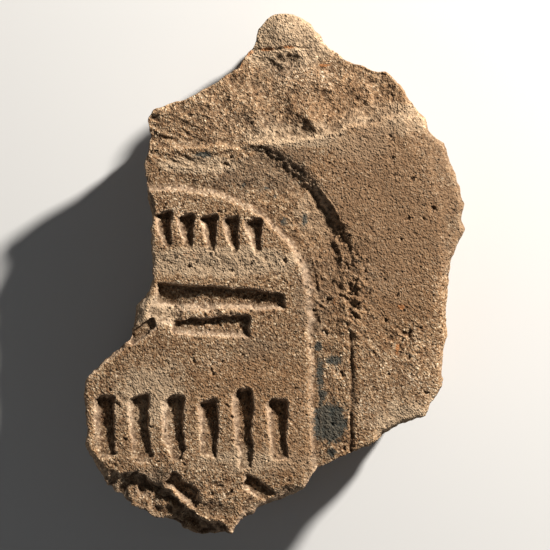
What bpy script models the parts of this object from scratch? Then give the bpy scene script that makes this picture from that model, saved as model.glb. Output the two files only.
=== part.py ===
# A broken piece of a carved stone relief panel, lying on its flat back with the carved face up.
# Lengths are in metres, +Z is up, +X is the carving's right and +Y is its top.
# The origin is on the back face, in the middle of the piece's outline.
import math

import bmesh
import bpy
from mathutils import Vector, noise

MM = 0.001

# The whole piece
PANEL_WIDTH = 153 * MM
PANEL_HEIGHT = 210 * MM
PANEL_THICKNESS = 48 * MM

# The broken sides, from the widest outline down to the flat back
BACK_INSET = 7 * MM
SIDE_ROUGHNESS = 3 * MM
SIDE_LUMP = 17 * MM
SIDE_LUMP_MEAN = 0.5
SIDE_LEVELS = 5
SIDE_UNDERCUT = 1.4
SIDE_ROUGH_TO = 0.7

# The top of the face has spalled away: a step down at its ridge, then a rough slope to the rim
SPALL_STEP_RUN = 3.8 * MM
SPALL_ROUGHNESS = 1.2 * MM
SPALL_LUMP = 12 * MM
SPALL_STATIONS = 46
SPALL_ROWS = 19

# The sunk border band, a corner and a straight leg around the raised field. Its outer edge is
# faint but for the corner, which the last four turns bound: faint, full, fading, faint again.
FIELD_REACH = 54.4 * MM
FIELD_RISE = 44.4 * MM
FIELD_FULLNESS = 2.0
FIELD_LEAN = 3.6 * MM
BAND_FULLNESS = 2.35
BAND_TOP_WIDTH = 22.8 * MM
BAND_SIDE_WIDTH = 20.4 * MM
BAND_FOOT_WIDTH = 15.6 * MM
BAND_LEFT_DEPTH = 2.3 * MM
BAND_LEG_DEPTH = 1.7 * MM
BAND_CORNER_DEPTH = 2.8 * MM
BAND_FAINT_DEPTH = 0.6 * MM
BAND_INNER_WALL = 3.0 * MM
BAND_OUTER_WALL = 1.2 * MM
BAND_FLOOR_MIDDLE = 0.55
BAND_CUT_TURNS = (math.radians(-10), math.radians(20), math.radians(46), math.radians(72))
BROKEN_WALL_RUN = 5.0 * MM
BROKEN_WALL_TURN = math.radians(9)
BROKEN_WALL_REACH = math.radians(22)
BROKEN_WALL_ENDS = 0.25
BAND_START_TURN = math.radians(108)
BAND_CORNER_STATIONS = 22
BAND_LEG_STATIONS = 5

# Cutters rise this far above the face, and reach this far past the outline
CUTTER_RISE = 3 * MM
CUTTER_PAST = 8 * MM

# The rim between the points of the outline
RIM_STEP = 5.5 * MM
RIM_RAGGEDNESS = 1.2 * MM
RIM_LUMP = 6 * MM

# How the arris between face and side has broken, in hundredths of the height: how far the face's
# edge stands in from the outline, where a shoulder lies under it, and how deep the outline lies.
# An edge on the spall has its outline that much under the spall's floor.
CRISP = {"face_in": 0.43, "shoulder_in": 0.14, "shoulder_down": 0.38, "outline_down": 1.43, "on_spall": 0}
WORN = {"face_in": 1.9, "shoulder_in": 0.76, "shoulder_down": 0.67, "outline_down": 2.4, "on_spall": 0}
GENTLE = {"face_in": 4.3, "shoulder_in": 0.7, "shoulder_down": 0.7, "outline_down": 1.7, "on_spall": 0}
FLAKED = {"face_in": 5.2, "shoulder_in": 0.8, "shoulder_down": 0.9, "outline_down": 2.2, "on_spall": 0}
LEDGE = {"face_in": 5.7, "shoulder_in": 4.9, "shoulder_down": 1.2, "outline_down": 1.7, "on_spall": 0}
NARROW = {"face_in": 2.9, "shoulder_in": 2.3, "shoulder_down": 2.0, "outline_down": 3.6, "on_spall": 0}
SPALLED = {"face_in": 1.4, "shoulder_in": 0.67, "shoulder_down": 0.7, "outline_down": 0.95, "on_spall": 1}

# The broken outline, anticlockwise from the knob at the top: hundredths of the width and height
# from the lower left corner, and the kind of edge there
OUTLINE = [
    (51.8, 100.0, SPALLED), (48.3, 99.5, SPALLED), (46.0, 97.6, SPALLED), (44.6, 94.4, SPALLED),
    (42.6, 92.2, SPALLED), (40.0, 89.4, SPALLED), (33.4, 86.5, SPALLED), (26.1, 83.5, SPALLED),
    (18.3, 81.8, SPALLED), (16.5, 79.8, SPALLED), (17.3, 76.2, SPALLED),
    (15.9, 69.1, CRISP), (17.0, 66.5, CRISP), (16.7, 64.6, WORN), (17.9, 60.0, CRISP),
    (17.5, 47.2, CRISP), (13.6, 44.0, WORN), (13.1, 41.3, WORN), (11.8, 37.9, CRISP),
    (6.0, 34.1, WORN), (0.7, 30.1, CRISP), (0.0, 26.9, CRISP), (0.7, 17.5, CRISP),
    (1.8, 14.1, WORN), (4.4, 11.8, WORN), (11.8, 7.0, LEDGE), (18.0, 4.2, LEDGE),
    (29.3, 1.0, NARROW), (36.1, 0.0, NARROW), (38.4, 0.2, CRISP), (42.4, 4.0, GENTLE),
    (54.1, 8.2, WORN), (57.8, 9.5, CRISP), (61.2, 13.1, CRISP), (71.6, 16.4, CRISP),
    (76.3, 17.9, CRISP), (78.4, 19.6, WORN), (83.1, 21.7, GENTLE), (89.4, 23.0, GENTLE),
    (94.1, 28.8, FLAKED), (94.1, 33.0, FLAKED), (95.3, 38.5, FLAKED), (95.2, 45.5, WORN),
    (96.5, 53.1, WORN), (100.0, 58.7, FLAKED), (99.2, 60.8, FLAKED), (99.6, 63.8, FLAKED),
    (97.8, 68.8, FLAKED), (94.4, 75.4, FLAKED), (90.2, 77.9, FLAKED), (89.4, 80.0, FLAKED),
    (84.7, 84.2, SPALLED), (83.4, 86.3, SPALLED), (79.2, 89.0, SPALLED), (76.3, 89.1, SPALLED),
    (66.6, 92.2, SPALLED), (64.1, 93.6, SPALLED), (62.2, 95.8, SPALLED), (60.1, 97.2, SPALLED),
    (59.0, 98.4, SPALLED), (56.2, 99.6, SPALLED),
]

# Places on the face, in the same hundredths
MIDDLE = (51.2, 45.1)
FIELD_CENTRE = (22.5, 45.1)

# The ridge where the spall starts, from left to right: place, step down behind it, slope behind that
RIDGE = [
    (-6.0, 73.0, 1.48, 0.07), (9.4, 73.1, 1.48, 0.07), (30.3, 73.6, 1.45, 0.10),
    (38.0, 73.7, 1.33, 0.11), (43.4, 74.1, 1.15, 0.12), (50.0, 74.6, 1.15, 0.13),
    (61.1, 75.7, 1.10, 0.16), (67.5, 76.9, 0.76, 0.19), (81.3, 79.2, 0.43, 0.20),
    (95.7, 80.8, 0.33, 0.20), (106.0, 81.0, 0.33, 0.20),
]

# Large swells and hollows of the spalled stone: place, reach, rise
SPALL_SWELLS = [
    (53.5, 96.5, 4.8, 1.75), (50.2, 88.8, 3.6, -0.95), (58.5, 90.3, 2.6, 0.62),
    (58.8, 81.6, 3.0, 0.62), (54.5, 78.6, 2.6, -0.38), (76.0, 84.0, 3.8, -0.43),
    (38.0, 82.0, 4.0, 0.52), (67.0, 85.4, 3.0, 0.33),
]

# The cut strokes. A row has its first stroke's place, the step to the next, the strokes' lengths
# and their width and depth at the near and the far end, in hundredths of the height. heading
# turns a stroke from upright, and deep_side moves its floor off the middle, as a share of half
# the width.
STROKE_ROWS = [
    {
        "first": (21.2, 58.7), "count": 5, "step": (4.3, -0.3), "lengths": [7.2, 6.6, 7.0],
        "near": (3.6, 1.7), "far": (0.9, 0.4), "heading": math.radians(172), "deep_side": -0.2,
    },
    {
        "first": (36.0, 45.5), "count": 1, "step": (0.0, 0.0), "lengths": [24.8],
        "near": (5.4, 1.6), "far": (3.2, 1.3), "heading": math.radians(92), "deep_side": -0.2,
    },
    {
        "first": (33.2, 40.2), "count": 1, "step": (0.0, 0.0), "lengths": [15.2],
        "near": (3.0, 0.9), "far": (4.4, 1.4), "heading": math.radians(90), "deep_side": -0.2,
    },
    {
        "first": (5.6, 21.1), "count": 6, "step": (6.6, -0.1),
        "lengths": [12.2, 12.8, 12.3, 10.8, 15.4, 11.6],
        "near": (4.1, 1.9), "far": (3.0, 0.5), "heading": math.radians(178), "deep_side": -0.2,
    },
    {
        "first": (26.1, 8.9), "count": 2, "step": (14.8, -0.29), "lengths": [7.4],
        "near": (3.0, 1.2), "far": (3.4, 0.7), "heading": math.radians(127), "deep_side": -0.2,
    },
    {
        "first": (15.4, 39.4), "count": 1, "step": (0.0, 0.0), "lengths": [7.1],
        "near": (2.2, 1.33), "far": (2.8, 1.33), "heading": math.radians(-124), "deep_side": 0.2,
    },
]
# The floor's share of a stroke's width, the run of its end walls as a share of the depth, and
# how far over the face those walls are carried on
STROKE_FLOOR = 0.6
STROKE_END = 0.45
STROKE_PROW = 0.25

# Chips knocked out of the face: place, reach along X, reach along Y, depth
CHIPS = [
    {"at": (21.5, 43.4), "reach": (3.4, 3.0), "depth": 0.8},
    {"at": (16.2, 8.8), "reach": (2.0, 3.05), "depth": 1.9},
]
# The bowl's rings from the floor up, as shares of the reach and of the depth
CHIP_RINGS = ((0.4, 1.0), (0.8, 0.6), (1.0, 0.0), (1.3, -1.0))
CHIP_SIDES = 14
CHIP_RAGGEDNESS = 0.35
CHIP_LOBES = 1.7
CHIP_LUMP = 10 * MM

STONE_COLOUR = (0.262, 0.160, 0.085, 1.0)
STONE_ROUGHNESS = 0.93


def on_face(across, up):
    """The point of the plan at these hundredths of the width and height."""
    return Vector(((across / 100 - 0.5) * PANEL_WIDTH, (up / 100 - 0.5) * PANEL_HEIGHT, 0.0))


def sized(hundredths):
    """A size of the breaks or the carving, which are given in hundredths of the height."""
    return hundredths / 100 * PANEL_HEIGHT


def loft(name, rings):
    """A closed mesh object through rings of as many points each, with its two ends filled."""
    shape = bmesh.new()
    rows = [[shape.verts.new(point) for point in ring] for ring in rings]
    for row, beyond in zip(rows, rows[1:]):
        for i in range(len(row)):
            j = (i + 1) % len(row)
            shape.faces.new((row[i], row[j], beyond[j], beyond[i]))
    shape.faces.new(rows[0])
    shape.faces.new(rows[-1])
    bmesh.ops.recalc_face_normals(shape, faces=shape.faces)
    mesh = bpy.data.meshes.new(name)
    shape.to_mesh(mesh)
    shape.free()
    made = bpy.data.objects.new(name, mesh)
    bpy.context.scene.collection.objects.link(made)
    return made


def ridge_at(x):
    """The ridge's distance up the plan at this x, the step down behind it and the slope there."""
    points = [(on_face(across, up), step, slope) for across, up, step, slope in RIDGE]
    for (left, step, slope), (right, next_step, next_slope) in zip(points, points[1:]):
        if x <= right.x:
            share = max(0.0, (x - left.x) / (right.x - left.x))
            return (
                left.y + share * (right.y - left.y),
                step + share * (next_step - step),
                slope + share * (next_slope - slope),
            )
    return points[-1][0].y, points[-1][1], points[-1][2]


def spall_depth(x, y):
    """How far the spalled stone lies under the face at this place above the ridge."""
    ridge, step, slope = ridge_at(x)
    place = Vector((x, y, 0.0))
    depth = sized(step) + slope * max(0.0, y - ridge)
    depth += SPALL_ROUGHNESS * noise.noise(place / SPALL_LUMP)
    for across, up, reach, rise in SPALL_SWELLS:
        gap = (place - on_face(across, up)).length / sized(reach)
        depth -= sized(rise) * math.exp(-(gap**2))
    return depth


def rim():
    """(place, edge) all round the outline, ragged between its points, where edges blend."""
    places = []
    for here, beyond in zip(OUTLINE, OUTLINE[1:] + OUTLINE[:1]):
        start = on_face(*here[:2])
        end = on_face(*beyond[:2])
        inward = (on_face(*MIDDLE) - start).normalized()
        steps = max(1, round((end - start).length / RIM_STEP))
        for k in range(steps):
            share = k / steps
            place = start.lerp(end, share)
            if k > 0:
                place += inward * RIM_RAGGEDNESS * abs(noise.noise(place / RIM_LUMP))
            edge = {key: size + (beyond[2][key] - size) * share for key, size in here[2].items()}
            places.append((place, edge))
    return places


def edge_levels(place, edge):
    """(inset, height) pairs from the arris down to the widest outline, for one point of it."""
    outline_down = sized(edge["outline_down"]) + edge["on_spall"] * spall_depth(place.x, place.y)
    return [
        (sized(edge["face_in"]), PANEL_THICKNESS),
        (sized(edge["shoulder_in"]), PANEL_THICKNESS - sized(edge["shoulder_down"])),
        (0.0, PANEL_THICKNESS - outline_down),
    ]


def side_levels(place, top):
    """(inset, height) pairs from under the widest outline down to the back."""
    levels = []
    for level in range(1, SIDE_LEVELS + 1):
        share = level / SIDE_LEVELS
        height = top * (1 - share)
        lump = noise.noise(Vector((place.x, place.y, height)) / SIDE_LUMP)
        rough = SIDE_ROUGHNESS * (SIDE_LUMP_MEAN + lump) * math.sin(math.pi * min(share, SIDE_ROUGH_TO))
        levels.append((BACK_INSET * share**SIDE_UNDERCUT + max(0.0, rough), height))
    return levels


def stone_body():
    """The broken slab before it was carved, as rings that narrow towards the middle of the plan."""
    middle = on_face(*MIDDLE)
    columns = []
    for place, edge in rim():
        inward = (middle - place).normalized()
        levels = edge_levels(place, edge)
        levels += side_levels(place, levels[-1][1])
        columns.append([place + inward * inset + Vector((0, 0, height)) for inset, height in levels])
    return loft("relief_fragment", [list(ring) for ring in zip(*columns)])


def spall_cutter():
    """What has spalled off the top of the face: sections that stand side by side along the ridge."""
    left = on_face(*RIDGE[0][:2]).x
    right = on_face(*RIDGE[-1][:2]).x
    far_y = PANEL_HEIGHT / 2 + CUTTER_PAST
    sections = []
    for station in range(SPALL_STATIONS + 1):
        x = left + (right - left) * station / SPALL_STATIONS
        ridge, _, _ = ridge_at(x)
        section = [Vector((x, ridge - SPALL_STEP_RUN / 2, PANEL_THICKNESS + CUTTER_RISE))]
        for row in range(SPALL_ROWS + 1):
            y = ridge + SPALL_STEP_RUN + (far_y - ridge - SPALL_STEP_RUN) * row / SPALL_ROWS
            section.append(Vector((x, y, PANEL_THICKNESS - spall_depth(x, y))))
        section.append(Vector((x, far_y, PANEL_THICKNESS + CUTTER_RISE)))
        sections.append(section)
    return loft("cutter_spall", sections)


def corner_point(turn, reach, rise, fullness):
    """A point of the rounded corner about the field's centre, turn being 0 at its right."""
    along = math.cos(turn)
    x = reach * math.copysign(abs(along) ** (2 / fullness), along)
    y = rise * math.sin(turn) ** (2 / fullness)
    return on_face(*FIELD_CENTRE) + Vector((x, y, 0.0))


def broken_wall(turn):
    """How far the outer wall runs in at this turn: it is steep, except where it has broken."""
    share = math.exp(-(((turn - BROKEN_WALL_TURN) / BROKEN_WALL_REACH) ** 2))
    return BAND_OUTER_WALL + (BROKEN_WALL_RUN - BAND_OUTER_WALL) * share


def outer_depth(turn):
    """How deep the band lies at its outer wall at this turn: faint but for the corner itself."""
    faint, full, fading, gone = BAND_CUT_TURNS
    share = min(1.0, max(0.0, (turn - faint) / (full - faint)), max(0.0, (gone - turn) / (gone - fading)))
    return BAND_FAINT_DEPTH + (BAND_CORNER_DEPTH - BAND_FAINT_DEPTH) * share


def band_stations():
    """(inner point, outer point, inner depth, outer depth, outer wall's run), left end to foot."""
    stations = []
    for k in range(BAND_CORNER_STATIONS + 1):
        share = k / BAND_CORNER_STATIONS
        turn = BAND_START_TURN * (1 - share)
        inner = corner_point(turn, FIELD_REACH, FIELD_RISE, FIELD_FULLNESS)
        outer = corner_point(
            turn, FIELD_REACH + BAND_SIDE_WIDTH, FIELD_RISE + BAND_TOP_WIDTH, BAND_FULLNESS
        )
        depth = BAND_LEFT_DEPTH + (BAND_LEG_DEPTH - BAND_LEFT_DEPTH) * share
        stations.append((inner, outer, depth, outer_depth(turn), broken_wall(turn)))
    inner_top, outer_top, _, depth_top, wall_top = stations[-1]
    foot_y = -PANEL_HEIGHT / 2 - CUTTER_PAST
    inner_foot = Vector((inner_top.x + FIELD_LEAN, foot_y, 0.0))
    outer_foot = Vector((inner_foot.x + BAND_FOOT_WIDTH, foot_y, 0.0))
    for k in range(1, BAND_LEG_STATIONS + 1):
        share = k / BAND_LEG_STATIONS
        inner = inner_top.lerp(inner_foot, share)
        outer = outer_top.lerp(outer_foot, share)
        near_top = max(0.0, 1 - share / BROKEN_WALL_ENDS)
        wall = BAND_OUTER_WALL + (wall_top - BAND_OUTER_WALL) * near_top
        depth = BAND_FAINT_DEPTH + (depth_top - BAND_FAINT_DEPTH) * near_top
        stations.append((inner, outer, BAND_LEG_DEPTH, depth, wall))
    return stations


def band_cutter():
    """The sunk border band: a sloping inner wall, a floor between two depths, a steep outer wall."""
    above = Vector((0, 0, PANEL_THICKNESS + CUTTER_RISE))
    sections = []
    for inner, outer, inner_depth, depth, wall in band_stations():
        outwards = (outer - inner).normalized()
        inner_spread = BAND_INNER_WALL * CUTTER_RISE / inner_depth
        outer_spread = wall * CUTTER_RISE / depth
        middle_depth = (inner_depth + depth) / 2
        sections.append([
            inner - outwards * inner_spread + above,
            inner + outwards * BAND_INNER_WALL + Vector((0, 0, PANEL_THICKNESS - inner_depth)),
            inner.lerp(outer, BAND_FLOOR_MIDDLE) + Vector((0, 0, PANEL_THICKNESS - middle_depth)),
            outer - outwards * wall + Vector((0, 0, PANEL_THICKNESS - depth)),
            outer + outwards * outer_spread + above,
        ])
    return loft("cutter_band", sections)


def stroke_cutter(name, place, length, row):
    """One cut stroke: a steep wall, a gentle wall, and a floor that changes depth along it."""
    along = Vector((math.sin(row["heading"]), math.cos(row["heading"]), 0.0))
    side = Vector((along.y, -along.x, 0.0))
    sections = []
    for end, size in ((-1, row["near"]), (1, row["far"])):
        half = sized(size[0]) / 2
        depth = sized(size[1])
        above = Vector((0, 0, PANEL_THICKNESS + depth))
        foot = half * STROKE_FLOOR
        keel = half * row["deep_side"]
        walls = []
        for over_end, height in ((STROKE_PROW, STROKE_PROW * depth), (-1, -depth)):
            middle = place + along * (end * (length / 2 + depth * STROKE_END * over_end))
            floor = middle + Vector((0, 0, PANEL_THICKNESS + height))
            walls.append([
                middle + side * (foot - keel - 2 * half) + above,
                floor + side * (keel - foot),
                floor + side * (keel + foot),
                middle + side * (2 * half - foot - keel) + above,
            ])
        sections += walls if end < 0 else walls[::-1]
    return loft(name, sections)


def stroke_cutters():
    """Every cut stroke of the rows, each as its own cutter."""
    cutters = []
    for number, row in enumerate(STROKE_ROWS):
        first = on_face(*row["first"])
        for k in range(row["count"]):
            place = first + sized(k) * Vector((*row["step"], 0.0))
            length = sized(row["lengths"][k % len(row["lengths"])])
            cutters.append(stroke_cutter(f"cutter_stroke_{number}_{k}", place, length, row))
    return cutters


def chip_cutter(name, chip):
    """A shallow ragged bowl, widening upwards."""
    centre = on_face(*chip["at"])
    depth = sized(chip["depth"])
    rings = []
    for share, down in CHIP_RINGS:
        height = Vector((0, 0, PANEL_THICKNESS - down * depth))
        ring = []
        for k in range(CHIP_SIDES):
            turn = math.tau * k / CHIP_SIDES
            out = Vector((math.cos(turn), math.sin(turn), 0.0))
            ragged = 1 + CHIP_RAGGEDNESS * noise.noise(out * CHIP_LOBES + centre / CHIP_LUMP)
            reach = Vector((out.x * chip["reach"][0], out.y * chip["reach"][1], 0.0))
            ring.append(centre + sized(share * ragged) * reach + height)
        rings.append(ring)
    return loft(name, rings)


def stone_material():
    material = bpy.data.materials.new("sandstone")
    material.use_nodes = True
    shader = material.node_tree.nodes["Principled BSDF"]
    shader.inputs["Base Color"].default_value = STONE_COLOUR
    shader.inputs["Roughness"].default_value = STONE_ROUGHNESS
    shader.inputs["Metallic"].default_value = 0.0
    return material


def cut(stone, cutter):
    """Takes the cutter's shape out of the stone, and keeps the cutter out of the render."""
    cutter.hide_render = True
    cutter.display_type = "WIRE"
    modifier = stone.modifiers.new(cutter.name, "BOOLEAN")
    modifier.operation = "DIFFERENCE"
    modifier.solver = "EXACT"
    modifier.object = cutter


def main():
    for old in list(bpy.data.objects):
        bpy.data.objects.remove(old)
    stone = stone_body()
    stone.data.materials.append(stone_material())
    cut(stone, spall_cutter())
    cut(stone, band_cutter())
    for cutter in stroke_cutters():
        cut(stone, cutter)
    for number, chip in enumerate(CHIPS):
        cut(stone, chip_cutter(f"cutter_chip_{number}", chip))


main()
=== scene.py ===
import math

import bpy
import numpy as np
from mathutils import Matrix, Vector


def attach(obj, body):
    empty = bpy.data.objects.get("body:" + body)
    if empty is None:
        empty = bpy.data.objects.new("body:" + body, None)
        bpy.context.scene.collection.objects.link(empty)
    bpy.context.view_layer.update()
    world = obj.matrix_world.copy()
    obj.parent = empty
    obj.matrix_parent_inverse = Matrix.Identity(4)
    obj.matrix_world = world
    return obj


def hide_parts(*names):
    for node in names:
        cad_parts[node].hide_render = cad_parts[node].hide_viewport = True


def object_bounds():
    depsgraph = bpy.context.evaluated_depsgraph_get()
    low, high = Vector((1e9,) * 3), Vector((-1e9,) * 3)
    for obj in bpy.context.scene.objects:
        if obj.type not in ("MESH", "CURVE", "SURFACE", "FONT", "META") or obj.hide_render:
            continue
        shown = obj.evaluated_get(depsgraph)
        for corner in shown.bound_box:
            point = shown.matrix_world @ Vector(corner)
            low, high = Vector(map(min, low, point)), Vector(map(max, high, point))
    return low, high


mm = 0.001

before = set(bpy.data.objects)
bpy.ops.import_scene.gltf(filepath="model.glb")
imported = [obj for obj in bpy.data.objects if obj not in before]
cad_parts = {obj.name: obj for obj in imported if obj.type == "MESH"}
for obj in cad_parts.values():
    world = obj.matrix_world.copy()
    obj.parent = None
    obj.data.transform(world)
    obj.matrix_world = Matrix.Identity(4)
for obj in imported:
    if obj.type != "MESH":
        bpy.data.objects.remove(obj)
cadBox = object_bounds()
print("frame loaded, box", cadBox)


def deselectAll():
    for thing in bpy.context.selected_objects:
        thing.select_set(False)


def pick(thing):
    deselectAll()
    thing.select_set(True)
    bpy.context.view_layer.objects.active = thing


def applyModifier(thing, name, kind, **values):
    modifier = thing.modifiers.new(name, kind)
    for key, value in values.items():
        setattr(modifier, key, value)
    pick(thing)
    bpy.ops.object.modifier_apply(modifier=modifier.name)


def readVertices(thing, what):
    values = np.empty(len(thing.data.vertices) * 3, dtype=np.float32)
    thing.data.vertices.foreach_get(what, values)
    return values.reshape(-1, 3).astype(np.float64)


def writePoints(thing, points):
    thing.data.vertices.foreach_set("co", points.astype(np.float32).ravel())
    thing.data.update()


def paintGroup(thing, name, weights):
    # a vertex group in twenty steps of weight
    group = thing.vertex_groups.new(name=name)
    steps = np.rint(np.clip(weights, 0.0, 1.0) * 20).astype(int)
    for step in range(21):
        chosen = np.nonzero(steps == step)[0].tolist()
        if chosen:
            group.add(chosen, step / 20, "REPLACE")


def paintAttribute(thing, name, values):
    layer = thing.data.attributes.new(name, "FLOAT", "POINT")
    layer.data.foreach_set("value", values.astype(np.float32))


def ease(value, low, high):
    # 0 below low, 1 above high, smooth between
    share = np.clip((value - low) / (high - low), 0.0, 1.0)
    return share * share * (3.0 - 2.0 * share)


def hashed(a, b, seed):
    # a fixed number from 0 to 1 for each cell of a grid
    n = (a * 73856093) ^ (b * 19349663) ^ (seed * 83492791)
    n = (n ^ (n >> 13)) * 1274126177 & 0x7FFFFFFF
    return (n ^ (n >> 16)) % 65536 / 65535.0


def ripple(u, v, seed):
    # smooth noise from 0 to 1 over a plane, one lump a unit
    a = np.floor(u).astype(np.int64)
    b = np.floor(v).astype(np.int64)
    fu = u - a
    fv = v - b
    fu = fu * fu * (3 - 2 * fu)
    fv = fv * fv * (3 - 2 * fv)
    low = hashed(a, b, seed) * (1 - fu) + hashed(a + 1, b, seed) * fu
    high = hashed(a, b + 1, seed) * (1 - fu) + hashed(a + 1, b + 1, seed) * fu
    return low * (1 - fv) + high * fv


def crumble(x, y, size, seed):
    # three octaves of ripple, each turned, from about 0 to 1
    total = np.zeros(len(x))
    for octave, share in enumerate((0.5, 0.3, 0.2)):
        turn = 0.6 + 1.1 * octave
        step = size / 1.9 ** octave
        u = (x * math.cos(turn) - y * math.sin(turn)) / step + 500
        v = (x * math.sin(turn) + y * math.cos(turn)) / step + 500
        total += share * ripple(u, v, seed + octave)
    return total


def neighbourMean(thing, values, passes):
    # each point's values drawn halfway to its neighbours' mean, several times over
    edges = np.empty(len(thing.data.edges) * 2, dtype=np.int64)
    thing.data.edges.foreach_get("vertices", edges)
    a = edges[0::2]
    b = edges[1::2]
    count = np.bincount(a, minlength=len(values)) + np.bincount(b, minlength=len(values))
    for _ in range(passes):
        total = np.stack([
            np.bincount(a, weights=values[b, k], minlength=len(values))
            + np.bincount(b, weights=values[a, k], minlength=len(values)) for k in range(values.shape[1])
        ], axis=1)
        values = 0.5 * values + 0.5 * total / count[:, None]
    return values


stone = {
    "faceHeight": 48 * mm,
    # the even mesh and its smoothing, before and after the relief is carved
    "voxel": 0.43 * mm,
    "softening": 0.5,
    "softeningPasses": 3,
    "settling": 0.4,
    "triangles": 196000,
    "spareTop": 0.2,  # how readily the carved top gives up triangles, against 1 for the back
    # smoothing of the solid's facets before they are roughened: name, where, passes
    "easing": [("easeSpall", "spall", 40), ("easeBreaks", "broken", 12), ("easeCuts", "cuts", 5)],
    # roughening: name, kind, size and height in millimetres, where, level that stays put, octaves
    "roughening": [
        ("breakLumps", "CLOUDS", 11, 5.0, "broken", 0.58, 4),
        ("breakFacets", "VORONOI", 7, 1.6, "broken", 0.5, None),
        ("ledgeLumps", "CLOUDS", 6, 4.6, "ledge", 0.5, 3),
        ("spallLumps", "CLOUDS", 9.5, 3.0, "spall", 0.5, 2),
        ("spallCrumbs", "CLOUDS", 2.0, 0.8, "spall", 0.5, 1),
        ("faceWaves", "CLOUDS", 11, 0.6, "top", 1.0, 2),
        ("cutBeds", "CLOUDS", 2.4, 0.7, "cuts", 0.6, 2),
        ("bandBed", "CLOUDS", 4.5, 1.1, "band", 0.6, 3),
        ("wallChips", "CLOUDS", 2.0, 1.1, "walls", 0.5, 1),
        ("coarseGrain", "CLOUDS", 1.7, 0.38, "top", 1.0, 1),
        ("fineGrain", "CLOUDS", 1.05, 0.2, "top", 1.0, 0),
        ("backDressing", "CLOUDS", 5, 0.35, "under", 1.0, 3),
    ],
    "grainTurn": (0.7, 0.5, 0.9),  # the textures sit askew, so that their own grid never shows
    # the border band, as the solid has it: centre and reaches of its rounded corner
    "bandCentre": (-42.1 * mm, -10.3 * mm),
    "bandInner": (54.4 * mm, 44.4 * mm, 2.0),
    "bandOuter": (74.8 * mm, 67.2 * mm, 2.35),
    # the ridge where the top has spalled, from left to right
    "ridge": [(-86, 48.3), (-62, 48.5), (-30, 49.6), (-18, 49.8), (-10, 50.6), (0, 51.7), (17, 54),
              (27, 56.5), (48, 61.3), (70, 64.7), (86, 65.1)],
    # thin cut or cracked lines: points, width and depth in millimetres
    "lines": [
        {"points": [(30.6, -24), (31.0, -40), (30.4, -55), (30.7, -70)], "width": 0.9, "depth": 0.8},
        {"points": [(-11, 50.2), (-4, 48.6), (6, 44.2), (14, 38.4), (19, 32)], "width": 0.8, "depth": 0.5},
        {"points": [(-14, 87), (-10, 90.6), (-2, 90.2), (6, 91.8), (14, 91)], "width": 0.8, "depth": 0.6},
        {"points": [(-61, 53.5), (-52, 52.6), (-47, 49.5)], "width": 0.8, "depth": 0.6},
        {"points": [(-48.5, 55.0), (-36, 54.6), (-25, 53.4)], "width": 0.9, "depth": 0.45},
        {"points": [(-49, 51.5), (-38, 48.2), (-33, 46.0)], "width": 0.8, "depth": 0.45},
        {"points": [(-50, 48.8), (-41, 45.6), (-35, 43.2)], "width": 0.8, "depth": 0.4},
    ],
    # chisel scratches along the band and at its left end, in millimetres and degrees
    "bandScratches": {"apart": 1.25, "long": 16, "deep": 0.4},
    "leftScratches": {"apart": 1.15, "long": 13, "deep": 0.6, "slope": -20},
    # the worn outer wall at the band's corner: distances in from its edge, and depths there
    "wallSlope": ([0, 2.8, 3.7], [0, 2.3, 3.1]),
    "wallLumps": 1.3,
    "bevelDepth": 0.75,
    # further down, how much of the groove the broken wall fills, and how deep its pits are
    "heapFill": 0.8,
    "heapPits": 3.0,
    # slanting crumbs, and pits by size, depth and seed
    "crumbs": {"slant": -38, "size": 1.7, "deep": 2.2, "everywhere": 0.08},
    "pits": [(1.5, 0.6, 5), (2.6, 0.9, 15)],
    # how far hand-cut edges wander: size of a bend, shift and seed
    "wander": [(7.0, 1.5, 21), (2.8, 0.9, 31)],
    # places where grains and crumbs have come away: place, reach, share
    "crumbled": [
        (32, -4, 7, 22, 1.0), (27, 13, 5, 9, 1.0), (50, -28, 16, 12, 0.55), (17, -6, 6, 16, 0.8),
        (-22, 6, 28, 4, 0.5), (-24, -16, 22, 7, 0.6), (2, 83, 9, 6, 0.75), (36, 76, 20, 8, 0.4),
        (-44, 66, 14, 5, 0.6), (-14, -60, 26, 16, 0.3), (-60, -50, 14, 20, 0.35), (-30, -86, 18, 6, 0.6),
    ],
    # the bigger scoops and swells that the solid leaves out: place, reach and rise in millimetres
    "swells": [
        (-44, 4, 16, 4, -0.5), (-20, 3, 14, 3.5, -0.45), (48, -22, 13, 11, -0.8), (54, -50, 14, 8, -0.6),
        (15, -14, 7, 12, -0.5), (26, 2, 8, 12, -0.6), (-41, -12, 6, 7, -1.2), (42, 34, 14, 9, -0.3),
        (-47, -84, 4, 5, -1.8), (-36, -87, 4, 4, -1.8), (-26, -94, 8, 3, -1.6), (-54, -80, 2.5, 4, 0.8),
        (13.2, 61, 5, 5, 1.4),
    ],
}


def lumpTexture(name, kind, size, octaves):
    texture = bpy.data.textures.new(name, kind)
    texture.noise_scale = size
    if octaves is not None:
        texture.noise_depth = octaves
    return texture


def displace(thing, name, texture, turn, strength, group, middle):
    applyModifier(thing, name, "DISPLACE", texture=texture, texture_coords="OBJECT",
                  texture_coords_object=turn, strength=strength, mid_level=middle, vertex_group=group)


def cornerShare(points, reach, rise, fullness):
    # how far out a point is against a rounded corner: 1 on its edge
    x = (points[:, 0] - stone["bandCentre"][0]) / reach
    y = (points[:, 1] - stone["bandCentre"][1]) / rise
    corner = (np.clip(np.abs(x), 1e-6, None) ** fullness + np.clip(y, 0, None) ** fullness) ** (1 / fullness)
    return np.where(y > 0, corner, x)


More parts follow.
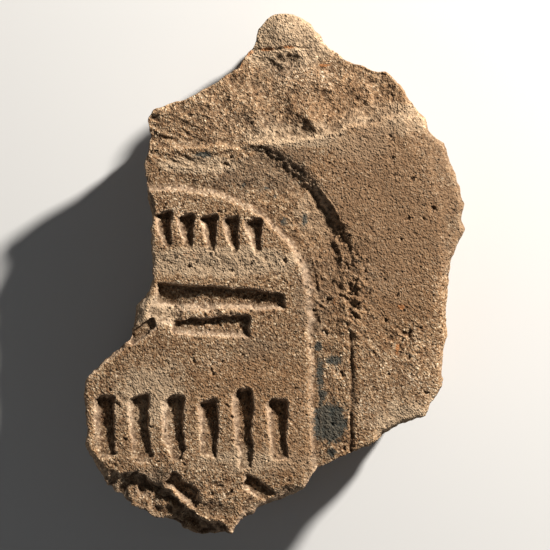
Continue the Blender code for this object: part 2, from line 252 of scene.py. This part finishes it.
def bandPlace(points):
    # how far out a point is against the band's inner and outer edge, 0 to 1 between
    # the two, and the distance along the band
    inner = cornerShare(points, *stone["bandInner"])
    outer = cornerShare(points, *stone["bandOuter"])
    across = (inner - 1) / np.maximum((inner - 1) + (1 - outer), 1e-4)
    x = points[:, 0] - stone["bandCentre"][0]
    y = points[:, 1] - stone["bandCentre"][1]
    turn = np.arctan2(np.clip(y, 0, None), x)
    along = np.where(y > 0, turn * 60 * mm, y)
    return inner, outer, across, along


def ridgeHeight(x):
    places = np.array(stone["ridge"]) * mm
    return np.interp(x, places[:, 0], places[:, 1])


def nearLine(points, route):
    # distance from a line of several straight runs
    best = np.full(len(points), 1.0)
    for (ax, ay), (bx, by) in zip(route, route[1:]):
        a = np.array([ax, ay]) * mm
        run = np.array([bx, by]) * mm - a
        share = np.clip(((points[:, :2] - a) @ run) / (run @ run), 0, 1)
        gap = points[:, :2] - a - share[:, None] * run
        best = np.minimum(best, np.hypot(gap[:, 0], gap[:, 1]))
    return best


def blankStone():
    # a merged copy of the solid, remeshed evenly
    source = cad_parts["relief_fragment"]
    thing = bpy.data.objects.new("carvedStone", source.data.copy())
    bpy.context.scene.collection.objects.link(thing)
    thing.vertex_groups.clear()
    pick(thing)
    bpy.ops.object.mode_set(mode="EDIT")
    bpy.ops.mesh.select_all(action="SELECT")
    bpy.ops.mesh.remove_doubles(threshold=0.00001)
    bpy.ops.mesh.normals_make_consistent(inside=False)
    bpy.ops.object.mode_set(mode="OBJECT")
    applyModifier(thing, "even", "REMESH", mode="VOXEL", voxel_size=stone["voxel"], adaptivity=0.0)
    applyModifier(thing, "soften", "SMOOTH", factor=stone["softening"],
                  iterations=stone["softeningPasses"])
    print("stone remeshed:", len(thing.data.vertices), "points")
    return thing


def maskStone(thing):
    # where the stone is spalled, sunk, cut or broken
    points = readVertices(thing, "co")
    normals = readVertices(thing, "normal")
    depth = stone["faceHeight"] - points[:, 2]
    up = ease(normals[:, 2], 0.3, 0.7)
    inner, outer = bandPlace(points)[:2]
    above = points[:, 1] - ridgeHeight(points[:, 0])
    spall = up * ease(above, 0.0 * mm, 3.0 * mm)
    strip = (1 - ease(points[:, 0], -34 * mm, -22 * mm)) * (1 - ease(points[:, 1], 58 * mm, 63 * mm))
    band = up * ease(inner, 0.985, 1.02) * (1 - ease(outer, 0.985, 1.01)) * (1 - spall)
    cutIn = up * ease(depth, 0.35 * mm, 0.9 * mm) * (1 - ease(inner, 0.96, 1.0)) * (1 - spall)
    back = ease(-normals[:, 2], 0.8, 0.95)
    rimDepth = np.where(above > 0, depth - 6 * mm, depth)
    broken = np.clip(1 - up - back, 0, 1) * (0.2 + 0.8 * ease(rimDepth, 6 * mm, 16 * mm))
    walls = np.clip(1 - up - back, 0, 1) * (1 - ease(depth, 3.5 * mm, 5.5 * mm)) * (1 - spall)
    lowLeft = ease(-points[:, 1], 60 * mm, 66 * mm) * ease(depth, 2.4 * mm, 3.4 * mm)
    plain = ease(points[:, 0], 18 * mm, 30 * mm) * (1 - spall)
    calm = 0.22 * (1 - plain) * (1 - ease(points[:, 1], -24 * mm, -14 * mm))
    knob = np.exp(-((points[:, 0] - 4 * mm) / (11 * mm)) ** 2 - ((points[:, 1] - 98 * mm) / (8 * mm)) ** 2)
    for name, weights, passes in (
        ("top", up * (1 - 0.35 * plain - calm), 2),
        ("spall", spall * (1 - 0.8 * strip) * (1 - 0.8 * knob), 8),
        ("band", band, 3),
        ("cuts", cutIn, 3),
        ("broken", broken, 8),
        ("walls", walls, 1),
        ("ledge", up * lowLeft, 4),
        ("under", back, 4),
    ):
        paintGroup(thing, name, neighbourMean(thing, weights[:, None], passes)[:, 0])
    print("stone masked")


def roughenStone(thing):
    # the solid's facets are eased, then come the breaks, the worked face and the sand grain
    for name, group, passes in stone["easing"]:
        applyModifier(thing, name, "SMOOTH", factor=0.5, iterations=passes, vertex_group=group)
    turn = bpy.data.objects.new("grainTurn", None)
    turn.rotation_euler = stone["grainTurn"]
    bpy.context.scene.collection.objects.link(turn)
    bpy.context.view_layer.update()
    for name, kind, size, height, group, middle, octaves in stone["roughening"]:
        texture = lumpTexture(name, kind, size * mm, octaves)
        displace(thing, name, texture, turn, height * mm, group, middle)
    bpy.data.objects.remove(turn)
    print("stone roughened")


def scratchDepth(x, y, inner, outer, across, along):
    # chisel scratches that follow the band, and slanting ones at its left end
    marks = stone["bandScratches"]
    inBand = ease(inner, 0.99, 1.04) * (1 - ease(outer, 0.97, 1.0))
    course = np.abs(ripple(across * 20 / marks["apart"], along / (marks["long"] * mm) + 300, 1) * 2 - 1)
    patchy = ease(ripple(x / 9 + 50, y / 9 + 90, 2), 0.25, 0.6)
    drop = inBand * marks["deep"] * (1 - course) * patchy
    marks = stone["leftScratches"]
    slope = math.radians(marks["slope"])
    u = (x * math.cos(slope) + y * math.sin(slope)) / marks["long"] + 40
    v = (-x * math.sin(slope) + y * math.cos(slope)) / marks["apart"] + 400
    left = (1 - ease(x, -32, -22)) * ease(y, 42, 46) * (1 - ease(y, 62, 66))
    drop += left * marks["deep"] * (1 - np.abs(ripple(u, v, 3) * 2 - 1))
    return drop


def lineDepth(points, x, y):
    # the thin lines, deeper in some places than in others
    drop = np.zeros(len(points))
    patchy = 0.45 + 0.55 * ripple(x / 3 + 50, y / 3 + 50, 4)
    for line in stone["lines"]:
        gap = nearLine(points, line["points"])
        drop += line["depth"] * patchy * np.exp(-((gap / (0.5 * line["width"] * mm)) ** 2))
    return drop


def swellHeight(x, y):
    rise = np.zeros(len(x))
    for cx, cy, rx, ry, height in stone["swells"]:
        rise += height * np.exp(-(((x - cx) / rx) ** 2 + ((y - cy) / ry) ** 2))
    return rise


def wornWall(x, y, depth, outer, along):
    # the corner's outer wall is worn to a rough slope, with a sharp foot
    turn = along / (60 * mm)
    gap = (1 - outer) * 70
    bevelled = ease(turn, 0.55, 0.75) * (1 - ease(turn, 0.95, 1.1))
    corner = ease(turn, 0.30, 0.46) * (1 - ease(turn, 0.85, 1.1)) * ease(gap, -0.2, 0.2)
    onWall = corner * (1 - ease(gap, 3.4, 4.6))
    slope = np.interp(gap, *stone["wallSlope"]) + 0.7 * bevelled * (1 - ease(gap, 0, 3))
    lift = np.clip(depth - slope, 0, None) * onWall * (0.78 + 0.25 * crumble(x, y, 1.6, 61))
    drop = -stone["wallLumps"] * onWall * ease(gap, 0.2, 0.8) * (crumble(x, y, 1.1, 41) - 0.5)
    # further down that wall has broken, and the groove is full of crumbs and pits
    heap = ease(turn, -0.35, -0.1) * (1 - ease(turn, 0.30, 0.46)) * ease(gap, -1, 0) * (1 - ease(gap, 4, 7))
    lift += stone["heapFill"] * heap * np.clip(depth - 0.9, 0, None)
    pits = np.clip(0.5 - crumble(x + 0.4 * y, 0.7 * y, 1.15, 51), 0, None)
    drop += stone["heapPits"] * heap * pits
    # above its dark edge is a hatched bevel
    bevel = np.clip((1.034 - outer) / 0.034, 0, 1) * bevelled
    hatched = 0.6 + 0.4 * ripple(x / 0.9 + 200, y / 3.0 + 200, 7)
    drop += stone["bevelDepth"] * bevel * (outer > 0.99) * hatched
    return lift, drop, bevelled * np.exp(-((gap / 1.1) ** 2))


def crumbDepth(points, x, y):
    # crumbs come away in slanting flakes, more in some places than in others
    crumbs = stone["crumbs"]
    crumbled = np.full(len(points), crumbs["everywhere"])
    for cx, cy, rx, ry, share in stone["crumbled"]:
        crumbled = np.maximum(crumbled, share * np.exp(-(((x - cx) / rx) ** 2 + ((y - cy) / ry) ** 2)))
    slant = math.radians(crumbs["slant"])
    u = (x * math.cos(slant) + y * math.sin(slant)) / 2.2
    v = -x * math.sin(slant) + y * math.cos(slant)
    drop = crumbled * crumbs["deep"] * (crumble(u, v, crumbs["size"], 8) - 0.42)
    # pits are shallower in the spalled top
    worked = 1 - 0.6 * ease(y - ridgeHeight(points[:, 0]) / mm, 0, 3)
    for size, deepest, seed in stone["pits"]:
        pit = ease(crumble(x, y, size, seed), 0.78 - 0.2 * crumbled, 0.88 - 0.14 * crumbled)
        drop += deepest * worked * pit
    return drop


def carveDetails(thing):
    # tool marks, thin lines, crumbled places and swells, as moves straight up or down
    points = readVertices(thing, "co")
    normals = readVertices(thing, "normal")
    inner, outer, across, along = bandPlace(points)
    x = points[:, 0] / mm
    y = points[:, 1] / mm
    depth = (stone["faceHeight"] - points[:, 2]) / mm
    carved = 1 - ease(depth, 6, 9)  # the wall's wear doesn't reach the stone's back
    lift, wallDrop, wallEdge = wornWall(x, y, depth, outer, along)
    drop = scratchDepth(x, y, inner, outer, across, along) + lineDepth(points, x, y)
    drop += wallDrop + crumbDepth(points, x, y) - swellHeight(x, y)
    up = np.maximum(ease(normals[:, 2], 0.2, 0.7), carved * wallEdge)
    points[:, 2] += (lift * carved - drop * up) * mm
    # no edge of hand-cut stone is quite straight, and the broken lower left one least of all
    ragged = 1 + 1.6 * ease(-y, 64, 72) * (1 - ease(x, -14, -4))
    for size, shift, seed in stone["wander"]:
        points[:, 0] += ragged * shift * mm * (crumble(x, y, size, seed) - 0.5)
        points[:, 1] += ragged * shift * mm * (crumble(x, y, size, seed + 5) - 0.5)
    writePoints(thing, points)
    print("details carved")


def settleStone(thing):
    # takes off what is finer than the mesh can hold
    applyModifier(thing, "settle", "SMOOTH", factor=stone["settling"], iterations=1)
    print("stone settled")


def trimStone(thing):
    # the sides and back give up most of their triangles, and the carved top its flattest ones
    normals = readVertices(thing, "normal")
    points = readVertices(thing, "co")
    low = (1 - ease(normals[:, 2], -0.1, 0.2)) * (1 - ease(points[:, 2], 33 * mm, 40 * mm))
    under = ease(-normals[:, 2], 0.5, 0.9)
    paintGroup(thing, "spare", np.maximum(np.maximum(low, under), stone["spareTop"]))
    faces = sum(len(p.vertices) - 2 for p in thing.data.polygons)
    applyModifier(thing, "trim", "DECIMATE", decimate_type="COLLAPSE", vertex_group="spare",
                  ratio=min(1.0, stone["triangles"] / faces), use_collapse_triangulate=True)
    print("trimmed from", faces, "to", len(thing.data.polygons), "faces")


def keepInBox(thing):
    # the dressed stone never passes the solid's box
    points = np.clip(readVertices(thing, "co"), np.array(cadBox[0]), np.array(cadBox[1]))
    writePoints(thing, points)
    print("stone kept in its box")


tint = {
    # blue-green paint left in the band: place and reach in millimetres, strength
    "pigment": [
        (-28.3, 48.2, 4.2, 1.6, 0.8), (-12.5, 36.0, 1.4, 1.2, 0.7), (-3.1, 34.8, 1.9, 0.8, 0.7),
        (-0.1, 31.4, 1.0, 1.0, 0.6), (3.5, 21.4, 1.8, 2.2, 0.7), (11.9, 21.6, 1.4, 3.6, 0.8),
        (17.3, -28.6, 1.6, 2.2, 0.9), (18.1, -39.0, 2.0, 11.0, 0.7), (23.7, -34.2, 3.9, 2.5, 0.8),
        (21.9, -59.0, 7.0, 8.4, 1.0), (22.7, -70.8, 2.2, 2.0, 0.9), (19.0, -48.0, 2.4, 4.0, 0.7),
    ],
    # rust-coloured specks and cracks
    "rust": [
        (-10.5, 89.4, 1.8, 1.3, 0.8), (-3.0, 90.6, 2.6, 0.8, 0.9), (5.5, 91.4, 2.4, 0.6, 0.8),
        (19.6, 84.2, 2.4, 0.6, 0.8), (-15.0, 84.5, 3.5, 1.4, 0.6), (-20.5, 80.0, 3.0, 1.2, 0.5),
        (50.5, -12.8, 1.6, 1.0, 0.8), (48.9, -29.8, 0.9, 3.2, 0.6), (-33.0, 8.0, 8.0, 3.0, 0.35),
        (24.0, -12.0, 3.0, 5.0, 0.35),
    ],
    # paler places: dust, and a painted highlight on the knob at (3, 98), which leans toward the light
    "dustAndHighlight": [
        (-22, 5.5, 26, 5, 0.9), (-48, -15, 7, 5, 0.9), (3, 98, 16, 10, 1.6), (-50, -48, 16, 14, 0.5),
        (52, -58, 14, 9, 0.5), (10, 56, 20, 4, 0.8), (10, 75, 40, 12, 0.2), (16, 26, 9, 12, 0.5),
        (-8, -74, 30, 7, 0.4), (44, 62, 14, 6, 0.8), (34, 52, 10, 5, 0.8), (-30, 44, 14, 3, 0.8),
    ],
    # darker, greyer places
    "dull": [
        (16, -6, 7, 16, 0.8), (-6, -30, 16, 9, 0.4), (-14, 38, 13, 7, 0.5), (-50, -82, 10, 8, 0.5),
        (8, 47, 12, 5, 0.5), (2, 83, 8, 5, 0.5), (70, 34, 8, 24, 1.5), (-4, 62, 16, 5, 0.4),
        (44, 24, 22, 34, 0.75), (-2, 42, 12, 8, 0.8), (22, 0, 8, 12, 0.7),
    ],
    # browner, warmer places
    "warm": [
        (40, 20, 24, 34, 0.8), (-8, -46, 24, 12, 0.6), (30, 70, 20, 8, 0.5), (4, -64, 14, 16, 0.5),
    ],
}


def spotShare(points, spots):
    x = points[:, 0] / mm
    y = points[:, 1] / mm
    total = np.zeros(len(points))
    for cx, cy, rx, ry, strength in spots:
        gap = ((x - cx) / rx) ** 2 + ((y - cy) / ry) ** 2
        total = np.maximum(total, strength * np.exp(-gap * 0.7))
    return total


def colourMaps(thing):
    points = readVertices(thing, "co")
    normals = readVertices(thing, "normal")
    near = neighbourMean(thing, points, 3)
    wide = neighbourMean(thing, near, 14)
    # how hollow each point is; the material paints shade into the hollows and a highlight onto raised edges
    # from it
    fine = ((near - points) * normals).sum(axis=1) / (0.12 * mm)
    broad = ((wide - points) * normals).sum(axis=1) / (0.6 * mm)
    up = ease(normals[:, 2], 0.1, 0.5)
    hollow = np.clip(fine * 0.4 + broad * 0.7, -1, 1) * (0.4 + 0.6 * up)
    paintAttribute(thing, "hollow", 0.5 + 0.5 * hollow)
    for name, spots in tint.items():
        paintAttribute(thing, name, spotShare(points, spots) * up)
    above = points[:, 1] - ridgeHeight(points[:, 0])
    slopes = neighbourMean(thing, normals, 10)
    tilt = np.hypot(slopes[:, 0], slopes[:, 1]) / np.clip(slopes[:, 2], 0.05, None)
    # steep walls of the carving, which the material paints paler as a painted highlight for the light that
    # lit walls catch
    worked = (1 - ease(above, -2 * mm, 1 * mm)) * (1 - ease(points[:, 0], 20 * mm, 26 * mm))
    paintAttribute(thing, "wallHighlight", ease(tilt, 0.15, 0.75) * worked * up)
    freshBreak = np.maximum(1 - up, up * ease(above, -1 * mm, 2 * mm))
    paintAttribute(thing, "brokenStone", freshBreak)
    print("colour maps painted")


def newGroup(name, inputs, outputs):
    group = bpy.data.node_groups.new(name, "ShaderNodeTree")
    for label, kind, value in inputs:
        socket = group.interface.new_socket(name=label, in_out="INPUT", socket_type=kind)
        if value is not None:
            socket.default_value = value
    for label, kind in outputs:
        group.interface.new_socket(name=label, in_out="OUTPUT", socket_type=kind)
    return group, group.nodes.new("NodeGroupInput"), group.nodes.new("NodeGroupOutput")


def node(tree, kind, **values):
    made = tree.nodes.new(kind)
    for key, value in values.items():
        setattr(made, key, value)
    return made


def mathNode(tree, operation, first, second, clamp=False):
    made = node(tree, "ShaderNodeMath", operation=operation, use_clamp=clamp)
    for slot, value in enumerate((first, second)):
        if isinstance(value, (int, float)):
            made.inputs[slot].default_value = value
        else:
            tree.links.new(value, made.inputs[slot])
    return made.outputs[0]


def rampNode(tree, source, stops):
    made = node(tree, "ShaderNodeValToRGB")
    ramp = made.color_ramp
    while len(ramp.elements) < len(stops):
        ramp.elements.new(0.5)
    for element, (place, value) in zip(ramp.elements, stops):
        element.position = place
        element.color = (*value, 1)
    tree.links.new(source, made.inputs[0])
    return made.outputs[0]


def mixColour(tree, share, first, second, blend="MIX"):
    made = node(tree, "ShaderNodeMix", data_type="RGBA", blend_type=blend)
    for slot, value in ((0, share), (6, first), (7, second)):
        if isinstance(value, (int, float)):
            made.inputs[slot].default_value = value
        elif isinstance(value, tuple):
            made.inputs[slot].default_value = (*value, 1)
        else:
            tree.links.new(value, made.inputs[slot])
    return made.outputs[2]


def noiseNode(tree, place, scale, detail, roughness=0.5):
    made = node(tree, "ShaderNodeTexNoise")
    made.inputs["Scale"].default_value = scale
    made.inputs["Detail"].default_value = detail
    made.inputs["Roughness"].default_value = roughness
    tree.links.new(place, made.inputs["Vector"])
    return made.outputs[0]


def sandGrainGroup():
    # sand grains: each has a tone of its own, with a fine speckle, small pits and their height
    group, start, end = newGroup(
        "sandGrain",
        [("Place", "NodeSocketVector", None), ("Fine", "NodeSocketFloat", 0.3),
         ("Coarse", "NodeSocketFloat", 0.4), ("Pit", "NodeSocketFloat", 0.4)],
        [("Speckle", "NodeSocketFloat"), ("Tone", "NodeSocketFloat"), ("Height", "NodeSocketFloat")],
    )
    # turned, so that no row of grains runs along the stone
    turned = node(group, "ShaderNodeVectorRotate", rotation_type="EULER_XYZ")
    turned.inputs["Rotation"].default_value = (0.7, 0.4, 0.9)
    group.links.new(start.outputs["Place"], turned.inputs["Vector"])
    place = turned.outputs[0]
    fine = noiseNode(group, place, 1500, 2.0, 0.6)
    ground = noiseNode(group, place, 1700, 0.0)
    middle = noiseNode(group, place, 950, 1.0, 0.6)
    grains = node(group, "ShaderNodeTexVoronoi")
    grains.inputs["Scale"].default_value = 1500
    group.links.new(place, grains.inputs["Vector"])
    apart = node(group, "ShaderNodeSeparateColor")
    group.links.new(grains.outputs["Color"], apart.inputs[0])
    dome = mathNode(group, "SUBTRACT", 1.0, grains.outputs["Distance"])
    # pits, in some places only
    spots = node(group, "ShaderNodeTexVoronoi")
    spots.inputs["Scale"].default_value = 560
    group.links.new(place, spots.inputs["Vector"])
    pits = mathNode(group, "SUBTRACT", 0.34, spots.outputs["Distance"])
    pits = mathNode(group, "MULTIPLY", pits, 5.0, clamp=True)
    chosen = mathNode(group, "SUBTRACT", noiseNode(group, place, 240, 1.0), 0.47)
    chosen = mathNode(group, "MULTIPLY", chosen, 9.0, clamp=True)
    pits = mathNode(group, "MULTIPLY", pits, chosen)
    speckle = mathNode(group, "MULTIPLY", middle, 0.4)
    speckle = mathNode(group, "ADD", mathNode(group, "MULTIPLY", fine, 0.6), speckle)
    height = mathNode(group, "MULTIPLY", mathNode(group, "ADD", ground, dome), start.outputs["Fine"])
    height = mathNode(group, "ADD", height, mathNode(group, "MULTIPLY", middle, start.outputs["Coarse"]))
    height = mathNode(group, "SUBTRACT", height, mathNode(group, "MULTIPLY", pits, start.outputs["Pit"]))
    group.links.new(speckle, end.inputs["Speckle"])
    group.links.new(apart.outputs[0], end.inputs["Tone"])
    group.links.new(height, end.inputs["Height"])
    return group


def patchGroup():
    # a painted mask with a broken, eaten edge
    group, start, end = newGroup(
        "brokenPatch",
        [("Place", "NodeSocketVector", None), ("Mask", "NodeSocketFloat", 0.0),
         ("Size", "NodeSocketFloat", 400.0), ("Cover", "NodeSocketFloat", 0.5)],
        [("Patch", "NodeSocketFloat")],
    )
    noise = node(group, "ShaderNodeTexNoise")
    noise.inputs["Detail"].default_value = 4.0
    noise.inputs["Roughness"].default_value = 0.65
    group.links.new(start.outputs["Place"], noise.inputs["Vector"])
    group.links.new(start.outputs["Size"], noise.inputs["Scale"])
    total = mathNode(group, "ADD", start.outputs["Mask"], noise.outputs[0])
    total = mathNode(group, "SUBTRACT", total, 1.0)
    total = mathNode(group, "ADD", total, start.outputs["Cover"])
    total = mathNode(group, "MULTIPLY", mathNode(group, "SUBTRACT", total, 0.25), 6.0, clamp=True)
    inside = mathNode(group, "MULTIPLY", start.outputs["Mask"], 3.0, clamp=True)
    group.links.new(mathNode(group, "MULTIPLY", total, inside), end.inputs["Patch"])
    return group


def placeGroup(tree, group, place, **values):
    made = node(tree, "ShaderNodeGroup", node_tree=group)
    tree.links.new(place, made.inputs["Place"])
    for key, value in values.items():
        if isinstance(value, (int, float)):
            made.inputs[key].default_value = value
        else:
            tree.links.new(value, made.inputs[key])
    return made


def readAttribute(tree, name):
    made = node(tree, "ShaderNodeAttribute", attribute_type="GEOMETRY", attribute_name=name)
    return made.outputs["Fac"]


sandstone = {
    # broad and small clouds of colour: scale, octaves and roughness of the noise, then its ramp
    "cloudySize": (55, 4.0, 0.6),
    "cloudy": [(0.30, (0.220, 0.134, 0.071)), (0.5, (0.270, 0.173, 0.096)), (0.72, (0.335, 0.228, 0.138))],
    "blotchySize": (170, 3.0, 0.6),
    "blotchy": [(0.35, (0.76, 0.71, 0.67)), (0.6, (1.0, 1.0, 1.0)), (0.8, (1.16, 1.08, 0.98))],
    "speckled": [(0.34, (0.36, 0.30, 0.26)), (0.46, (0.86, 0.83, 0.80)), (0.56, (1.14, 1.16, 1.18)),
                 (0.67, (1.75, 1.9, 2.05))],
    # from the darkest grains to the few white ones
    "grainTones": [(0.0, (0.42, 0.32, 0.23)), (0.18, (0.80, 0.68, 0.56)), (0.4, (0.98, 0.98, 0.98)),
                   (0.7, (1.06, 1.05, 1.02)), (0.86, (1.26, 1.38, 1.52)), (1.0, (1.9, 2.3, 2.75))],
    "grainToneShare": 0.9,
    # painted highlight on raised edges and painted shade in hollows, from raised edges to hollows
    "hollowShadeEdgeLight": [(0.15, (1.30, 1.29, 1.27)), (0.45, (1.0, 1.0, 1.0)), (0.85, (0.45, 0.41, 0.37))],
    # painted patches: size and cover of the broken edge, share laid on, colour
    # dust, and the knob's painted highlight
    "dustAndHighlight": (260.0, 0.55, 0.5, (0.46, 0.34, 0.22)),
    "dull": (300.0, 0.5, 0.5, (0.13, 0.088, 0.055)),
    "warm": (140.0, 0.6, 0.42, (0.23, 0.122, 0.055)),
    "pigment": (620.0, 0.32, 0.8, (0.024, 0.036, 0.034)),
    "rust": (700.0, 0.42, 0.75, (0.34, 0.13, 0.04)),
    # share and colour
    "freshBreak": (0.08, (0.42, 0.28, 0.17)),
    # painted highlight: the steep walls of the carving are paled
    "wallHighlightColour": (0.3, (0.47, 0.355, 0.255)),
    "roughness": 0.92,
    "specular": 0.25,
    # the grain's relief, how much more of it breaks have, and how much less the steep walls with the painted
    # highlight have
    "grain": {"Fine": 0.16, "Coarse": 0.36, "Pit": 0.5},
    "grainHeight": 1.5 * mm,
    "extraOnBreaks": 0.3,
    "lessOnWallHighlight": 0.25,
}


def tinted(tree, patches, place, name, over):
    # one of the painted patches, laid over the colour
    size, cover, share, colour = sandstone[name]
    patch = placeGroup(tree, patches, place, Mask=readAttribute(tree, name), Size=size, Cover=cover)
    return mixColour(tree, mathNode(tree, "MULTIPLY", patch.outputs["Patch"], share), over, colour)


def sandstoneMaterial():
    material = bpy.data.materials.new("weatheredSandstone")
    material.use_nodes = True
    tree = material.node_tree
    shader = tree.nodes["Principled BSDF"]
    place = node(tree, "ShaderNodeTexCoord").outputs["Object"]
    grain = placeGroup(tree, sandGrainGroup(), place, **sandstone["grain"])
    patches = patchGroup()
    broken = readAttribute(tree, "brokenStone")
    wallHighlight = readAttribute(tree, "wallHighlight")

    colour = rampNode(tree, noiseNode(tree, place, *sandstone["cloudySize"]), sandstone["cloudy"])
    blotchy = rampNode(tree, noiseNode(tree, place, *sandstone["blotchySize"]), sandstone["blotchy"])
    colour = mixColour(tree, 1.0, colour, blotchy, "MULTIPLY")
    speckled = rampNode(tree, grain.outputs["Speckle"], sandstone["speckled"])
    colour = mixColour(tree, 1.0, colour, speckled, "MULTIPLY")
    toned = rampNode(tree, grain.outputs["Tone"], sandstone["grainTones"])
    colour = mixColour(tree, sandstone["grainToneShare"], colour, toned, "MULTIPLY")

    # paler patches: dust, and the knob's painted highlight
    colour = tinted(tree, patches, place, "dustAndHighlight", colour)
    colour = tinted(tree, patches, place, "dull", colour)
    share, tone = sandstone["freshBreak"]
    colour = mixColour(tree, mathNode(tree, "MULTIPLY", broken, share), colour, tone)
    colour = tinted(tree, patches, place, "warm", colour)
    # painted highlight on the steep walls of the carving
    share, tone = sandstone["wallHighlightColour"]
    colour = mixColour(tree, mathNode(tree, "MULTIPLY", wallHighlight, share), colour, tone)
    # painted shade in hollows and a painted highlight on raised edges
    hollowShadeEdgeLight = rampNode(tree, readAttribute(tree, "hollow"), sandstone["hollowShadeEdgeLight"])
    colour = mixColour(tree, 1.0, colour, hollowShadeEdgeLight, "MULTIPLY")
    colour = tinted(tree, patches, place, "pigment", colour)
    colour = tinted(tree, patches, place, "rust", colour)
    tree.links.new(colour, shader.inputs["Base Color"])
    shader.inputs["Roughness"].default_value = sandstone["roughness"]
    shader.inputs["Specular IOR Level"].default_value = sandstone["specular"]

    # broken stone is rougher than the worked face, and the steep walls with the painted highlight are
    # smoother
    rough = mathNode(tree, "ADD", mathNode(tree, "MULTIPLY", broken, sandstone["extraOnBreaks"]), 1.0)
    smoother = mathNode(tree, "MULTIPLY", wallHighlight, sandstone["lessOnWallHighlight"])
    rough = mathNode(tree, "SUBTRACT", rough, smoother)
    bump = node(tree, "ShaderNodeBump")
    bump.inputs["Strength"].default_value = 1.0
    bump.inputs["Distance"].default_value = sandstone["grainHeight"]
    tree.links.new(mathNode(tree, "MULTIPLY", grain.outputs["Height"], rough), bump.inputs["Height"])
    tree.links.new(bump.outputs["Normal"], shader.inputs["Normal"])
    print("sandstone mixed")
    return material


studio = {
    "floor": (0.62, 0.61, 0.59),
    "cameraHeight": 1.45,
    "frameWidth": 220 * mm,
    # a low key light from the upper right, and a wide weak one from the other side
    "keyFrom": (0.82, 0.80, 0.62),
    "keyPower": 46.0,
    "keySize": 0.11,
    "keyColour": (1.0, 0.97, 0.93),
    "fillFrom": (-0.7, -0.6, 0.9),
    "fillPower": 0.95,
    "fillSize": 0.9,
    "fillColour": (0.93, 0.96, 1.0),
    "world": 0.065,
}


def paleFloor():
    deselectAll()
    bpy.ops.mesh.primitive_plane_add(size=8.0, location=(0, 0, 0))
    floor = bpy.context.active_object
    floor.name = "studioFloor"
    material = bpy.data.materials.new("palePaper")
    material.use_nodes = True
    shader = material.node_tree.nodes["Principled BSDF"]
    shader.inputs["Base Color"].default_value = (*studio["floor"], 1)
    shader.inputs["Roughness"].default_value = 0.9
    floor.data.materials.append(material)


def aimedLight(name, place, size, power, colour):
    light = bpy.data.lights.new(name, "AREA")
    light.shape = "DISK"
    light.size = size
    light.energy = power
    light.color = colour
    thing = bpy.data.objects.new(name, light)
    thing.location = place
    aim = Vector(place) - Vector((0, 0, 30 * mm))
    thing.rotation_euler = aim.to_track_quat("Z", "Y").to_euler()
    bpy.context.scene.collection.objects.link(thing)


def setStudio():
    paleFloor()
    scene = bpy.context.scene
    for name, light in (("rakingKey", "key"), ("softFill", "fill")):
        aimedLight(name, studio[light + "From"], studio[light + "Size"], studio[light + "Power"],
                   studio[light + "Colour"])
    world = bpy.data.worlds.new("studioAir")
    world.use_nodes = True
    world.node_tree.nodes["Background"].inputs["Color"].default_value = (0.92, 0.95, 1.0, 1)
    world.node_tree.nodes["Background"].inputs["Strength"].default_value = studio["world"]
    scene.world = world
    camera = bpy.data.cameras.new("overhead")
    camera.sensor_width = 36
    # the frame's width is measured just under the carved face
    camera.lens = 36 * (studio["cameraHeight"] - 46 * mm) / studio["frameWidth"]
    camera.clip_end = 20
    thing = bpy.data.objects.new("overhead", camera)
    thing.location = (0, 0, studio["cameraHeight"])
    scene.collection.objects.link(thing)
    scene.camera = thing
    scene.view_settings.view_transform = "Standard"
    print("studio set")


carvedStone = blankStone()
maskStone(carvedStone)
roughenStone(carvedStone)
carveDetails(carvedStone)
settleStone(carvedStone)
trimStone(carvedStone)
keepInBox(carvedStone)
colourMaps(carvedStone)
carvedStone.vertex_groups.clear()
carvedStone.data.materials.clear()
carvedStone.data.materials.append(sandstoneMaterial())
pick(carvedStone)
bpy.ops.object.shade_smooth()
deselectAll()
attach(carvedStone, "root")
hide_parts("relief_fragment")
setStudio()
